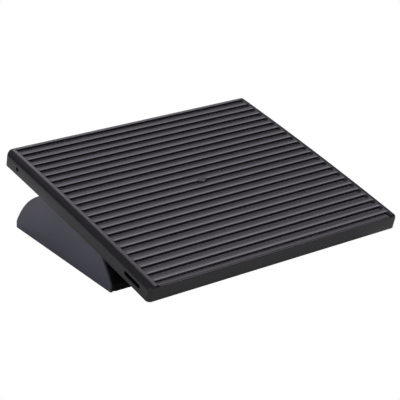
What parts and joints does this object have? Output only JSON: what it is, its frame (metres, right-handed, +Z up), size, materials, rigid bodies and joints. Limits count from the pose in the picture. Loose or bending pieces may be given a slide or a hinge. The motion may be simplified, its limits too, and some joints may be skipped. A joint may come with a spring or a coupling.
{
  "type": "tilting footrest",
  "caption": "Low footrest: a ribbed, slightly crowned footplate that tilts on a friction hinge between two arched side panels of a shallow base.",
  "frame": {"origin": "on the floor, at the centre of the whole object's plan outline", "axes": "+X across the width, -Y towards the low front edge of the footplate, +Z up"},
  "size_m": [0.45, 0.374, 0.1249],
  "materials": {
    "plate_plastic": "black moulded plastic, fine satin grain",
    "base_plastic": "black moulded plastic, matte",
    "cover_plastic": "slate grey moulded plastic, matte",
    "bracket_paint": "black powder coat",
    "zinc_steel": "zinc plated",
    "nylon": "natural nylon",
    "friction_fibre": "pressed fibre",
    "rubber": "black rubber"
  },
  "bodies": {
    "base": {"base_pan": "base_plastic", "cover_screws": "zinc_steel", "foot_front_left": "rubber", "foot_front_right": "rubber", "foot_rear_left": "rubber", "foot_rear_right": "rubber", "friction_washer_left": "friction_fibre", "friction_washer_right": "friction_fibre", "front_rail": "base_plastic", "inner_cheek_left": "base_plastic", "inner_cheek_right": "base_plastic", "lock_nut_left": "zinc_steel", "lock_nut_right": "zinc_steel", "pan_screws": "zinc_steel", "pivot_axle": "zinc_steel", "rear_rail": "base_plastic", "side_cover_left": "cover_plastic", "side_cover_right": "cover_plastic", "spacer_tube": "zinc_steel", "spring_washer_left": "zinc_steel", "spring_washer_right": "zinc_steel", "stop_buffer_front_left": "rubber", "stop_buffer_front_right": "rubber", "stop_buffer_rear_left": "rubber", "stop_buffer_rear_right": "rubber"},
    "footplate": {"footplate": "plate_plastic", "hinge_bracket_left": "bracket_paint", "hinge_bracket_right": "bracket_paint", "hinge_bush_left": "nylon", "hinge_bush_right": "nylon", "bracket_screws": "zinc_steel"}
  },
  "joints": [
    {"name": "plate_tilt", "type": "hinge", "parent": "base", "child": "footplate", "pos_m": [0, 0.0452, 0.0715], "axis": [1, 0, 0], "range_deg": [-10.26, 7.74]}
  ]
}
